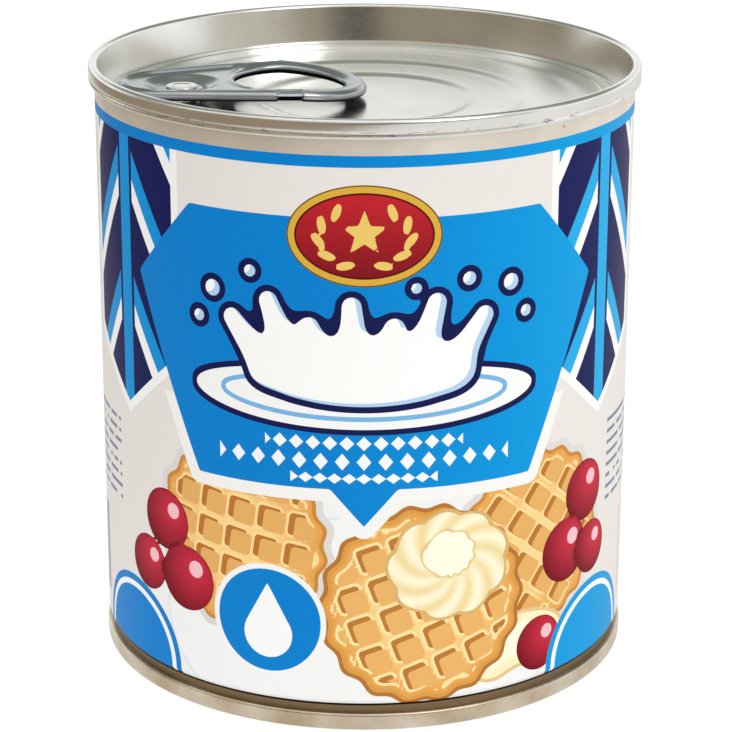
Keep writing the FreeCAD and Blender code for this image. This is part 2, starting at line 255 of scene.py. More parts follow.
def printFields(u, v):
    # every shape of the label at (u, v), by name
    f, k = {}, design
    right = k["fieldCorners"]
    left = [(-x, y) for x, y in reversed(right)]
    f["field"] = polygon(u, v, right + [(0.0, k["fieldTip"])] + left)

    # side columns, pointed at their feet
    across = np.abs(u) - k["columnCentre"]
    f["columnSide"] = across
    half, low = k["columnHalf"], k["columnLow"]
    foot = (v - low - 0.82 * np.abs(across)) * 0.773
    f["column"] = minimum(minimum(half - np.abs(across), k["columnTop"] - v), foot)
    f["dome"] = disc(np.abs(u), v, k["columnCentre"], k["domeLow"], k["domeRadius"])

    # the dish of waffles
    f["plate"] = oval(u, v, *k["dish"])
    leftOne, rightOne = waffle(u, v, *k["leftWaffle"]), waffle(u, v, *k["rightWaffle"])
    nearRight = rightOne[0] > leftOne[0]
    for name, a, b in zip(("backRim", "backPocket", "backFloor"), rightOne, leftOne):
        f[name] = np.where(nearRight, a, b)
    f["puddle"] = melt(oval(u, v, 22.0, 10.4, 7.6, 3.6), disc(u, v, 17.6, 8.6, 3.0), 2.0)
    f["frontRim"], f["frontPocket"], f["frontFloor"] = waffle(u, v, *k["frontWaffle"])

    # whipped cream, piped in a twisted star
    cu, cv = k["cream"]
    turn, reach = np.arctan2(v - cv, u - cu), hypot(u - cu, (v - cv) * 1.12)
    f["cream"] = 7.6 + 0.75 * np.abs(np.sin(4.5 * (turn + reach * 0.09))) - reach
    f["creamTone"] = 0.5 + 0.5 * np.sin(9 * (turn + reach * 0.16)) * np.clip(reach / 5, 0, 1)
    f["creamTop"] = 3.1 + 0.5 * np.abs(np.sin(4.5 * (turn + reach * 0.25)))
    f["creamTop"] -= hypot(u - cu + 0.2, (v - cv - 1.6) * 1.1)

    # round berries, each lit from its upper right
    berry, berryTone = np.full(u.shape, -1e3), np.zeros(u.shape)
    for x, y, r in k["berries"]:
        one = disc(u, v, x, y, r)
        gloss = 1 - hypot(u - x - 0.35 * r, v - y - 0.35 * r) / (1.45 * r)
        berryTone = np.where(one > 0, gloss, np.where(one > -0.35, -0.2, berryTone))
        berry = maximum(berry, one)
    f["berry"], f["berryTone"] = berry, berryTone

    # roundel with a drop of milk
    x, y, r = k["roundel"]
    f["roundel"] = disc(u, v, x, y, r)
    f["drop"] = milkDrop(u, v, x, y - 1.9, 3.4, 7.2)

    # medallion: a star between two sprays of leaves
    f["medal"] = oval(u, v, *k["medal"])
    spokes = [(3.1, 1.3)[i % 2] for i in range(10)]
    f["star"] = polygon(u, v, [(r * math.sin(math.pi * i / 5), 68.2 + r * math.cos(math.pi * i / 5))
                               for i, r in enumerate(spokes)])
    leaf = np.full(u.shape, -1e3)
    for side in (-1, 1):
        for i in range(5):
            a = -1.15 + i * 0.52
            spot = (side * 5.9 * math.cos(a), 67.7 + 4.0 * math.sin(a))
            leaf = maximum(leaf, oval(u, v, *spot, 1.25, 0.55, side * (a + 1.0)))
    f["leaf"] = leaf

    f["crown"] = milkCrown(u, v)
    f["crownLit"] = milkCrown(u + 0.75, v - 0.45)
    f["pool"] = oval(u, v, *k["pool"])
    f["ripple"] = oval(u, v, *k["ripple"])
    return f


# Body: a welded cylinder of printed tinplate, necked in above the base seam.
canBody = {   # mm
    "radius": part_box("can_body")[1].x / mm, "neckRadius": 36.05, "neckFoot": 3.3, "neckTop": 4.4,
    "wall": 0.3, "hookLow": 0.8, "hookHigh": 82.1, "coreLow": 4.15, "coreHigh": 76.75,
    "columns": 552, "rows": 168, "fullRadiusTop": 80.6, "weldHeight": 0.05, "weldWidth": 0.45,
}


def makeBody():
    # a grid of angle and height: its radius is the cylinder's, less a smooth step at the neck
    k = canBody
    angles = -math.pi / 2 + 2 * math.pi * np.arange(k["columns"]) / k["columns"]
    wall = k["radius"] - k["wall"]
    inNeck = k["neckRadius"] - k["wall"]
    neck = np.linspace(k["neckFoot"], k["neckTop"], 7)
    step = (k["radius"] - k["neckRadius"]) * smoothStep(k["neckFoot"], k["neckTop"], neck)
    rise = np.linspace(k["neckTop"], k["fullRadiusTop"], k["rows"])[1:]
    radius = np.concatenate([[0, inNeck, inNeck, k["neckRadius"]], k["neckRadius"] + step,
                             np.full(len(rise), k["radius"]), [k["radius"], wall, wall, 0]])
    height = np.concatenate([[k["coreLow"], k["coreLow"], k["hookLow"], k["hookLow"]], neck, rise,
                             [k["hookHigh"], k["hookHigh"], k["coreHigh"], k["coreHigh"]]])
    points, quads, tris = turnProfile(radius, height, angles)

    # a low bead where the two ends of the sheet are welded, at +X; the rest is drawn in by as much
    rows, columns = len(radius) - 2, len(angles)
    bead = k["weldHeight"] * np.exp(-((angles - math.pi / 2) * k["radius"] / k["weldWidth"]) ** 2)
    drawnIn = (k["weldHeight"] - bead)[None, :, None] / k["radius"]
    outer = (radius[1:-1] > wall + 0.01)[:, None, None]
    points[:-2].reshape(rows, columns, 3)[..., :2] *= 1 - drawnIn * outer
    body = buildMesh("printedBody", points, quads, tris)

    # print fields for one half of the way round, used twice: the back repeats the front
    u = k["radius"] * angles[: columns // 2]
    fields = printFields(*np.meshgrid(u, height[1:-1]))
    for name, values in fields.items():
        wide = np.concatenate([np.tile(np.clip(values, -30, 30), 2).ravel(), [-30, -30]])
        body.data.attributes.new(name, "FLOAT", "POINT").data.foreach_set("value", wide.astype(np.float32))

    # label map: arc length round the can and height, both in mm; bake map: front and back halves in two rows
    corner = np.zeros(len(body.data.loops), np.int32)
    body.data.loops.foreach_get("vertex_index", corner)
    wallCorners = 4 * len(quads)   # the wall's face corners come first, then those of the closing fans
    firstColumn = np.repeat(np.arange(len(quads)) % columns, 4)
    column = np.where(corner < rows * columns, corner % columns, 0).astype(float)
    column[:wallCorners] += columns * ((firstColumn == columns - 1) & (corner[:wallCorners] % columns == 0))
    around = k["radius"] * (-math.pi / 2 + 2 * math.pi * column / columns)
    around[wallCorners:] = 0
    tall = points[corner, 2]
    half = np.zeros(len(corner))
    half[:wallCorners] = firstColumn >= columns // 2
    span = math.pi * k["radius"]
    bakeU = np.clip((around + span / 2 - half * span) / span, 0, 1)
    bakeV = (np.clip(tall / 83, 0, 1) + half) / 2
    bake = body.data.uv_layers.new(name="OFBake")
    label = body.data.uv_layers.new(name="labelMap")
    bake.data.foreach_set("uv", np.stack([bakeU, bakeV], -1).ravel().astype(np.float32))
    label.data.foreach_set("uv", np.stack([around, tall], -1).ravel().astype(np.float32))
    bake.active_render = True
    return body


canShell = makeBody()
print("body", len(canShell.data.polygons))


# Lid: rolled seam, chuck wall, countersink, score line, three steps down and the rivet.
lid = {   # mm
    "rimRadius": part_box("top_end")[1].x / mm, "top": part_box("top_end")[1].z / mm, "seamHeight": 2.55,
    "rimInner": 36.25, "bodyRadius": 36.65, "wallInner": 36.35, "chuckFoot": 35.35,
    "panelEdge": 34.35, "panelTop": 77.9, "sinkFloor": 77.1, "hookTop": 82.1, "coreTop": 76.75,
    "steps": [29.75, 22.65, 15.55], "stepRun": 0.9, "stepDrop": 0.3,
    "rivet": (-24.745, -2.296), "tabSeat": 78.7, "columns": 336,
}


def steppedDisc(level, drop, steps, run):
    # corners of a panel that steps towards the axis; each step starts and ends in a wide, soft rounding
    corners = []
    for i, radius in enumerate(steps):
        corners.append((radius - 0.25, level + drop * i, 9))
        corners.append((radius - run - 1.05, level + drop * (i + 1), 9))
    return corners + [(0.6, level + drop * len(steps), 0), (0, level + drop * len(steps), 0)]


def makeLid():
    # the profile, as (radius, height, rounding), runs from the buried underside round the seam to the panel's middle
    k = lid
    seamFoot = k["top"] - k["seamHeight"]
    score = k["panelEdge"] - 2.1
    corners = [(0, k["coreTop"], 0), (k["wallInner"], k["coreTop"], 0), (k["wallInner"], k["hookTop"], 0),
               (k["bodyRadius"], k["hookTop"], 0), (k["bodyRadius"], seamFoot + 0.3, 0),
               (k["bodyRadius"] + 0.12, seamFoot, 0.1), (k["rimRadius"] - 0.06, seamFoot, 0.28),
               (k["rimRadius"], seamFoot + 0.45, 0.3), (k["rimRadius"] - 0.09, seamFoot + 0.72, 0.4),
               (k["rimRadius"], seamFoot + 1.1, 0.9), (k["rimRadius"], k["top"], 0.55),
               (k["rimInner"], k["top"], 0.5), (k["chuckFoot"], k["sinkFloor"], 0.32),
               (k["panelEdge"] + 0.05, k["sinkFloor"], 0.32), (k["panelEdge"] - 0.3, k["panelTop"], 0.25),
               (score + 0.25, k["panelTop"], 0.06), (score, k["panelTop"] - 0.12, 0),
               (score - 0.25, k["panelTop"], 0.06)]
    corners += steppedDisc(k["panelTop"], -k["stepDrop"], k["steps"], k["stepRun"])
    radius, height = roundedProfile(corners, fewest=8)
    angles = 2 * math.pi * np.arange(k["columns"]) / k["columns"]
    plate = turnProfile(radius, height, angles)

    # the rivet is drawn up from the panel: a shoulder, its shank and a spread head with a shallow dimple
    rivet = roundedProfile([(0, k["coreTop"] + 0.1, 0), (2.7, k["coreTop"] + 0.1, 0), (2.7, k["tabSeat"], 0.15),
                            (1.5, k["tabSeat"], 0.08), (1.5, k["tabSeat"] + 0.35, 0.05),
                            (2.15, k["tabSeat"] + 0.35, 0.1), (2.15, k["tabSeat"] + 0.65, 0.16),
                            (1.5, k["tabSeat"] + 0.62, 0.3), (1.1, k["tabSeat"] + 0.56, 0.3),
                            (0, k["tabSeat"] + 0.56, 0)])
    post = turnProfile(*rivet, 2 * math.pi * np.arange(72) / 72)
    post[0][:, :2] += k["rivet"]
    return buildMesh("lid", *joinPatches([plate, post]), sharpAngle=50)


lidPiece = makeLid()


# Base: the same kind of end, pressed the other way.
base = {   # mm
    "rimRadius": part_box("bottom_end")[1].x / mm, "seamHeight": 2.4, "rimInner": 35.65, "neckOuter": 36.05,
    "neckInner": 35.75, "chuckFoot": 34.75, "panelEdge": 33.75, "panel": 3.0, "sink": 3.8,
    "core": 4.15, "hook": 0.8, "steps": [29.15, 22.05, 14.95], "stepRun": 0.9, "stepRise": 0.3, "columns": 384,
}


def makeBase():
    # its profile starts on the axis of the outside face and ends on the axis of the buried one
    k = base
    outside = [(k["rimRadius"], k["seamHeight"] - 0.02, 0.4), (k["rimRadius"], 0, 0.5),
               (k["rimInner"], 0, 0.45), (k["chuckFoot"], k["sink"], 0.32),
               (k["panelEdge"], k["sink"], 0.32), (k["panelEdge"] - 0.3, k["panel"], 0.25)]
    outside += steppedDisc(k["panel"], k["stepRise"], k["steps"], k["stepRun"])
    buried = [(k["neckOuter"], k["seamHeight"] - 0.02, 0), (k["neckOuter"], k["hook"], 0),
              (k["neckInner"], k["hook"], 0), (k["neckInner"], k["core"], 0), (0, k["core"], 0)]
    radius, height = roundedProfile(outside[::-1] + buried)
    angles = 2 * math.pi * np.arange(k["columns"]) / k["columns"]
    return buildMesh("basePlate", *turnProfile(radius, height, angles), sharpAngle=50)


basePiece = makeBase()
print("ends", len(lidPiece.data.polygons), len(basePiece.data.polygons))


# Pull tab: a stamped steel ring with a curled edge, a dish round the rivet and a nose.
tab = {   # mm, from the rivet's axis, +x towards the ring
    "nose": (-1.9, 7.0), "ring": (14.8, 10.5), "finger": 7.6, "thick": 1.5, "turn": 11.2,
    "bendDrop": 1.2, "bendReach": 11.5, "bendRadius": 15.0,
    "curl": 1.5, "web": 1.02, "flange": 1.1, "dish": 5.2, "dishFloor": 3.5, "floorHeight": 0.35,
    "notch": (11.4, 14.8), "notchDepth": 0.65, "stripEdge": 0.86, "slitRadius": 3.15, "slitDepth": 0.22,
    "columns": 720, "rows": 84,
}


def tabOutline(count):
    # two arcs and the lines that touch both, walked at even steps; also the way out of each point
    (noseX, noseR), (ringX, ringR) = tab["nose"], tab["ring"]
    lean = math.asin((ringR - noseR) / (ringX - noseX))
    side = (ringX - noseX) * math.cos(lean)
    ringArc, noseArc = ringR * (math.pi + 2 * lean), noseR * (math.pi - 2 * lean)
    total = ringArc + noseArc + 2 * side
    s = np.arange(count) / count * total
    marks = np.cumsum([ringArc, side, noseArc])
    onRing, onTop, onNose = s < marks[0], (s >= marks[0]) & (s < marks[1]), (s >= marks[1]) & (s < marks[2])
    way = np.select([onRing, onTop, onNose],
                    [s / ringR - math.pi / 2 - lean, np.full(count, math.pi / 2 + lean),
                     math.pi / 2 + lean + (s - marks[1]) / noseR], -math.pi / 2 - lean)
    part = np.select([onTop, s >= marks[2]], [(s - marks[0]) / side, 1 - (s - marks[2]) / side], 0)
    share = np.where(onRing, 0, np.where(onNose, 1, part))
    centreX = ringX + (noseX - ringX) * share
    reach = ringR + (noseR - ringR) * share
    out = np.stack([np.cos(way), np.sin(way)], -1)
    return np.stack([centreX, 0 * s], -1) + out * reach[:, None], out


def tabTop(x, y):
    # height of the top: curled rails, a lower web, a flange round the finger hole and a dish round the rivet
    k = tab
    (noseX, noseR), (ringX, ringR) = k["nose"], k["ring"]
    lean = math.asin((ringR - noseR) / (ringX - noseX))
    alongLine = np.clip((x - noseX + np.abs(y) * math.tan(lean)) / (ringX - noseX), 0, 1)
    reach = noseR + (ringR - noseR) * alongLine
    edge = reach - hypot(x - noseX - (ringX - noseX) * alongLine, y)   # distance in from the outline
    hole = hypot(x - ringX, y) - k["finger"]
    rail = 1 - smoothStep(k["curl"] * 0.62, k["curl"] * 1.3, edge)
    crown = 0.16 * np.sin(np.clip(edge / k["curl"], 0, 1) * math.pi)
    lip = 1 - smoothStep(k["flange"] * 0.4, k["flange"] * 1.3, hole)
    height = k["web"] + (k["thick"] - k["web"] - 0.16) * rail + crown * rail
    height = maximum(height, k["web"] + 0.12 * lip)
    # round the finger hole the strip is one even swell from edge to edge
    wide = maximum(edge, 0) + maximum(hole, 0) + 1e-6
    acrossStrip = np.clip((maximum(edge, 0) + 0.35) / (wide + 0.35), 0, 1) ** 0.85
    swell = k["stripEdge"] + (k["thick"] - k["stripEdge"]) * np.sin(math.pi * acrossStrip) ** 0.6
    height = swell + (height - swell) * smoothStep(3.1, 4.6, wide)
    # the nose is a smooth bowl from the rail down to the dish's floor, open towards the ring
    rho = hypot(x, y)
    side = smoothStep(k["dishFloor"] - 0.1, k["dish"] + 0.4, rho)
    bowl = k["floorHeight"] + (k["web"] + 0.02 - k["floorHeight"]) * side
    height = minimum(height, bowl + 3 * smoothStep(k["dish"] + 0.2, k["dish"] + 2.2, rho))
    # a curved slit frees the rivet's tongue; it is open on the nose side
    slit = np.exp(-((rho - k["slitRadius"]) / 0.2) ** 2) * smoothStep(-2.6, -1.6, x)
    return height - k["slitDepth"] * slit, slit


def makeTab():
    # a loop of sections: each row is the outline moved in by the row's depth, at the row's height
    k = tab
    outer, out = tabOutline(k["columns"])
    ringCentre = np.array([k["ring"][0], 0.0])
    inward = outer - ringCentre
    inward /= np.linalg.norm(inward, axis=1)[:, None]
    # how much each outline point belongs to one of the two gaps where the ring bends
    gap = smoothStep(k["notch"][0] - 0.15, k["notch"][0] + 0.15, outer[:, 0])
    gap = gap * (1 - smoothStep(k["notch"][1] - 0.15, k["notch"][1] + 0.15, outer[:, 0]))
    gap = gap * (np.abs(outer[:, 1]) > 8)

    loops, heights, paintedShade = [], [], []   # how much painted shade a point gets: near black on the inside of the curl, in the notches, in the rivet's slit and on the underside
    # curled edge: from the underside round to the top, an oval section in each row
    for t in np.linspace(-90, 90, 13):
        depth = 0.62 * (1 - math.cos(math.radians(t)))
        level = k["thick"] / 2 - 0.08 + (k["thick"] / 2 - 0.08) * math.sin(math.radians(t))
        depths = depth + gap * k["notchDepth"] * (1 if level < 0.85 else 0.35)
        loops.append(outer - out * depths[:, None])
        heights.append(np.full(k["columns"], level) - gap * 0.22 * (level > 0.85))
        # painted shade on the curl's lower half and, where the ring bends, in the notches
        inside = 1 - smoothStep(0.2, 0.85, level)
        paintedShade.append(maximum(inside, gap * (level < 1.0)))
    start = loops[-1]
    stop = ringCentre + inward * (k["finger"] + 0.3)
    for s in np.linspace(0, 1, k["rows"])[1:]:
        loops.append(start + (stop - start) * s)
        x, y = loops[-1].T
        level, slit = tabTop(x, y)
        # the slit round the rivet is painted in shade
        paintedShade.append(0.9 * slit)
        near = gap * (1 - smoothStep(0.02, 0.35, s))
        heights.append(level - 0.22 * near)
    # the finger hole's edge, then the flat underside back to the start
    last = heights[-1]
    for t in np.linspace(90, -90, 9)[1:]:
        depth = 0.3 * math.cos(math.radians(t))
        loops.append(stop - inward * depth)
        heights.append(last / 2 * (1 + math.sin(math.radians(t))))
    low = loops[0]
    for s in np.linspace(0, 1, 7)[1:-1]:
        loops.append(stop + (low - stop) * s)
        heights.append(np.zeros(k["columns"]))

    grid = np.stack(loops)
    # no painted shade on the finger hole's edge; full painted shade on the flat underside
    paintedShade += [np.zeros(k["columns"])] * 3 + [np.ones(k["columns"])] * (len(loops) - len(paintedShade) - 3)
    paintedShade = np.stack(paintedShade)
    x, y, z = grid[..., 0], grid[..., 1], np.stack(heights)
    # past the ring's middle the strip bends down, through an arc into a straight
    slope = k["bendDrop"] / k["bendReach"]
    run = k["bendRadius"] * slope
    into = np.clip(x - k["ring"][0] + run / 2, 0, run)
    z = z - into ** 2 / (2 * k["bendRadius"]) - slope * maximum(x - k["ring"][0] - run / 2, 0)
    turn = math.radians(k["turn"])
    points = np.stack([x * math.cos(turn) - y * math.sin(turn) + lid["rivet"][0],
                       x * math.sin(turn) + y * math.cos(turn) + lid["rivet"][1], z + lid["tabSeat"]], -1)
    quads = gridQuads(len(loops), k["columns"], wrapRows=True)
    piece = buildMesh("pullTab", points.reshape(-1, 3), quads, sharpAngle=60)
    # the painted shade is stored on the tab's points
    dark = piece.data.attributes.new("paintedShade", "FLOAT", "POINT")
    dark.data.foreach_set("value", paintedShade.ravel().astype(np.float32))
    return piece


tabPiece = makeTab()
print("tab", len(tabPiece.data.polygons))


inks = {   # the label's colours, from the ground up
    "ground": "#E4DFD9", "dishRim": "#D3D9DE", "dish": "#ECECEA", "dishRing": "#E0E3E6", "dishWell": "#EFEFED",
    "waffleShade": "#D9D6D2", "backEdge": "#C88838", "backLit": "#FAD894", "backPocket": "#B87430",
    "backFloor": "#E2AC62", "crustBrown": "#E2A04C", "crustPale": "#F8D08C",
    "milkEdge": "#E2C488", "milk": "#FAEBC0", "milkTop": "#FDF4D8",
    "frontShade": "#B47430", "frontEdge": "#D89A48", "frontLit": "#FDE0A0", "frontPocket": "#BA7834",
    "frontFloor": "#E6B066", "creamEdge": "#D6B06E", "creamFold": "#ECD69C", "cream": "#FBF2D2",
    "creamTopEdge": "#E2C88C", "creamTop": "#FCF6DE",
    "berryShade": "#740818", "berry": "#D22C44", "berryGloss": "#F4BEC4",
    "columnEdge": "#F2F2F0", "navy": "#151A56", "outline": "#12184E", "fieldEdge": "#F0EFEC",
    # each blue pair below runs from left to right as painted light
    "blueLeft": "#007ECB", "blueRight": "#009ADB", "paleLeft": "#0690D6", "paleRight": "#22A8E2",
    "pool": "#F2F2F0", "ripple": "#78B2DC", "splash": "#F6F6F4", "splashShade": "#B0CEE8",
    "goldEdge": "#6E4A08", "gold": "#D6AA3C", "goldPale": "#E8C468",
    "redEdge": "#5A0A10", "redLow": "#781018", "redHigh": "#C2222C",
    "roundelEdge": "#F0F0EE", "drop": "#F4F4F2", "lozenge": "#EEF2F4", "dash": "#7C86A0", "bar": "#3A3E5C",
}


def product(tree, first, *others):
    # masks multiplied together: 1 where all of them are 1
    for other in others:
        first = addNode(tree, "Math", {0: first, 1: other}, 0, operation="MULTIPLY")
    return first


def within(tree, value, low=None, high=None):
    # a mask: 1 where the value lies above low and below high
    masks = []
    if low is not None:
        masks.append(addNode(tree, "Math", {0: value, 1: low}, 0, operation="GREATER_THAN"))
    if high is not None:
        masks.append(addNode(tree, "Math", {0: value, 1: high}, 0, operation="LESS_THAN"))
    return product(tree, *masks)


def paint(tree, colour, layers):
    # painter's order: each (mask, ink) covers what is under it
    colour = hexColour(colour) if isinstance(colour, str) else colour
    for mask, ink in layers:
        ink = hexColour(ink) if isinstance(ink, str) else ink
        colour = addNode(tree, "Mix", {0: mask, 6: colour, 7: ink}, 2, data_type="RGBA")
    return colour


def printColour(tree, around, tall):
    # the whole label: each layer shows past a distance in mm from its shape's edge
    add, both, inBand = partial(addNode, tree), partial(product, tree), partial(within, tree)
    known = {}

    def field(name):
        # a print field, stored on the body's points
        if name not in known:
            known[name] = add("Attribute", None, "Fac", attribute_name=name)
        return known[name]

    def past(name, limit=0.0):
        return inBand(field(name), limit)

    def fade(value, low, high, start, end):
        # an even change from one ink to another
        return paint(tree, inks[start], [(add("MapRange", {0: value, 1: low, 2: high}, 0), inks[end])])

    # distance from the middle of this half's label, -57.6 to 57.6 mm on the front and again on the back
    span = math.pi * canBody["radius"]
    half = add("Math", {0: around, 1: span / 2, 2: -span / 2}, 0, operation="WRAP")
    across = add("Math", {0: half}, 0, operation="ABSOLUTE")

    # painted light: the blue is painted lighter from left to right, as if lit more from the right, and turns back
    # before the next half
    paintedSideLight = add("Math", {0: add("MapRange", {0: half, 1: -5.0, 2: 30.0}, 0),
                         1: add("MapRange", {0: half, 1: span / 2, 2: 47.0}, 0)}, 0, operation="MINIMUM")
    blue, pale = fade(paintedSideLight, 0, 1, "blueLeft", "blueRight"), fade(paintedSideLight, 0, 1, "paleLeft", "paleRight")

    # pairs of stripes fall away from the column's bar on both sides, 1.55 mm for each 1 mm across
    side = add("Math", {0: field("columnSide")}, 0, operation="ABSOLUTE")
    slant = add("Math", {0: side, 1: 1.55, 2: tall}, 0, operation="MULTIPLY_ADD")
    slant = add("Math", {0: slant, 1: design["stripePitch"], 2: 0.0}, 0, operation="WRAP")
    fall = add("Math", {0: slant, 1: 0.542}, 0, operation="MULTIPLY")   # mm square to the stripe
    column, berry = past("column"), past("berry")
    ripple = add("Math", {0: field("ripple")}, 0, operation="ABSOLUTE")
    layers = [
        (past("plate"), "dishRim"), (past("plate", 0.8), "dish"), (past("plate", 4.6), "dishRing"),
        (past("plate", 5.0), "dishWell"), (past("backRim", -1.0), "waffleShade"), (past("backRim"), "backEdge"),
        (past("backRim", 0.55), fade(field("backRim"), 0.6, 7.5, "crustBrown", "crustPale")),
        (past("backPocket", -0.35), "backLit"), (past("backPocket"), "backPocket"), (past("backFloor"), "backFloor"),
        (past("puddle", -0.5), "milkEdge"), (past("puddle"), "milk"), (past("puddle", 1.3), "milkTop"),
        (past("frontRim", -0.6), "frontShade"), (past("frontRim"), "frontEdge"),
        (past("frontRim", 0.6), fade(field("frontRim"), 0.6, 7.5, "crustBrown", "crustPale")),
        (past("frontPocket", -0.4), "frontLit"), (past("frontPocket"), "frontPocket"),
        (past("frontFloor"), "frontFloor"),
        (past("cream", -0.5), "creamEdge"), (past("cream"), fade(field("creamTone"), 0, 1, "creamFold", "cream")),
        (past("creamTop", -0.35), "creamTopEdge"), (past("creamTop"), "creamTop"),
        (berry, fade(field("berryTone"), 0, 1, "berryShade", "berry")),
        (both(berry, past("berryTone", 0.82)), "berryGloss"),
        (past("column", -1.2), "columnEdge"), (column, "navy"),
        (both(column, inBand(fall, 1.6, 3.2)), "columnEdge"), (both(column, inBand(fall, 3.2, 5.3)), pale),
        (both(column, inBand(side, None, 1.9)), "navy"), (both(column, inBand(side, None, 1.3)), pale),
        (both(past("field", -1.7), inBand(tall, None, 44)), "fieldEdge"), (past("field"), blue),
        (past("pool", -0.75), "outline"), (past("pool"), "pool"), (inBand(ripple, None, 0.32), "ripple"),
        (past("crown", -0.85), "outline"), (past("crown"), "splash"),
        (both(past("crown"), inBand(field("crownLit"), None, 0)), "splashShade"),
        (past("medal"), "goldEdge"), (past("medal", 0.18), "gold"), (past("medal", 1.0), "redEdge"),
        (past("medal", 1.25), fade(tall, 62.0, 73.5, "redLow", "redHigh")),
        (past("star"), "goldPale"), (past("leaf"), "goldPale"),
        (past("dome"), blue), (inBand(field("dome"), 1.0, 1.8), "columnEdge"),
        (past("roundel"), "roundelEdge"), (past("roundel", 0.75), blue), (past("drop"), "drop"),
    ]

    # three rows of small white lozenges under the pool
    for level, wide, pitch, halfTall in design["lozengeRows"]:
        along = add("Math", {0: half, 1: pitch / 2, 2: -pitch / 2}, 0, operation="WRAP")
        rise = add("Math", {0: tall, 1: level}, 0, operation="SUBTRACT")
        scaled = [add("Math", {0: add("Math", {0: part}, 0, operation="ABSOLUTE"), 1: size}, 0, operation="DIVIDE")
                  for part, size in ((along, design["lozengeHalf"]), (rise, halfTall))]
        reach = add("Math", {0: scaled[0], 1: scaled[1]}, 0, operation="ADD")
        layers.append((both(inBand(across, None, wide), inBand(reach, None, 1.0)), "lozenge"))

    # side panels: rows of grey dashes that stand for small print, and a block of plain bars
    row = add("Math", {0: tall, 1: design["dashRows"]}, 0, operation="MULTIPLY")
    cells = [add("Math", {0: part, 1: perMm}, 0, operation="MULTIPLY")
             for part, perMm in ((half, design["dashWords"]), (half, design["barsPerMm"]))]
    word, bar = [add("Math", {0: cell}, 0, operation="FLOOR") for cell in cells]
    line = add("CombineXYZ", {0: word, 1: add("Math", {0: row}, 0, operation="FLOOR")}, 0)
    chance = add("TexWhiteNoise", {0: line}, 0, noise_dimensions="2D")
    layers.append((both(inBand(add("Math", {0: row}, 0, operation="FRACT"), 0.33, 0.67), inBand(chance, 0.2),
                        inBand(across, 41.0, 54.2), inBand(tall, 24.5, 37.5)), "dash"))
    chance = add("TexWhiteNoise", {1: bar}, 0, noise_dimensions="1D")
    layers.append((both(inBand(chance, 0.5), inBand(across, 49.4, 54.2), inBand(tall, 8.0, 21.0)), "bar"))
    layers.append((inBand(tall, *design["topStripe"]), blue))
    return paint(tree, inks["ground"], [(mask, inks.get(ink, ink) if isinstance(ink, str) else ink)
                                        for mask, ink in layers])


def makePrintedTinplate():
    # offset inks over a white base coat, under clear varnish, on tinplate: flat colours with a gloss;
    # where the tin is bare it has a soft, warm grey shine
    material, tree = newMaterial("varnished litho print on tinplate")
    add, inBand = partial(addNode, tree), partial(within, tree)
    label = add("SeparateXYZ", {0: add("UVMap", None, 0, uv_map="labelMap")})
    around, tall = label.outputs[0], label.outputs[1]
    place = add("TexCoord", None, "Object")
    fromWeld = add("Math", {0: around, 1: math.pi * canBody["radius"] / 2}, 0, operation="SUBTRACT")
    fromWeld = add("Math", {0: fromWeld}, 0, operation="ABSOLUTE")

    # bare metal above the stripe, along the weld and below the print; a black line closes the label
    lineLow, lineHigh = design["footLine"]
    foot = inBand(tall, None, lineHigh)
    bare = inBand(tall, design["topStripe"][1])
    for mask in (inBand(fromWeld, None, design["weldMargin"]), foot):
        bare = add("Math", {0: bare, 1: mask}, 0, operation="MAXIMUM")

    # clouds 6 mm across and flecks of handling dirt on the tin, painted shade in dark brown on the bare neck below
    # the print, grey along the weld
    cloud = add("TexNoise", {"Vector": place, "Scale": 160.0, "Detail": 4.0}, "Fac")
    fleck = add("TexNoise", {"Vector": place, "Scale": 900.0, "Detail": 3.0}, "Fac")
    dirt = add("Math", {0: inBand(fleck, 0.74), 1: 0.5}, 0, operation="MULTIPLY")
    tin = paint(tree, "#E6DDD0", [(add("MapRange", {0: cloud, 1: 0.35, 2: 0.65}, 0), "#F4ECE0"), (dirt, "#8C7A62"),
                                  (foot, "#8A7458"), (inBand(fromWeld, None, design["weldLine"]), "#7E7C78")])
    colour = paint(tree, printColour(tree, around, tall), [(bare, tin), (inBand(tall, lineLow, lineHigh), "#15130F")])

    # the press's fine tooth, 0.25 mm, keeps flat inks from looking like plastic film
    tooth = add("TexNoise", {"Vector": place, "Scale": 4000.0, "Detail": 1.0}, "Fac")
    shade = add("MapRange", {0: tooth, 1: 0.3, 2: 0.7, 3: 0.965, 4: 1.0}, 0)
    colour = add("VectorMath", {0: colour, "Scale": shade}, 0, operation="SCALE")
    wave = add("TexNoise", {"Vector": place, "Scale": 70.0, "Detail": 2.0}, "Fac")
    shader = add("BsdfPrincipled", {
        "Base Color": colour, "Metallic": add("Math", {0: bare, 1: 0.7}, 0, operation="MULTIPLY"),
        "Roughness": add("MapRange", {0: bare, 3: 0.42, 4: 0.38}, 0), "Specular IOR Level": 0.07,
        "Coat Weight": 0.05, "Coat Roughness": 0.12, "Coat IOR": 1.48,
        "Normal": add("Bump", {"Height": wave, "Strength": 0.12, "Distance": 0.0004}, 0)}, 0)
    add("OutputMaterial", {0: shader})
    return material


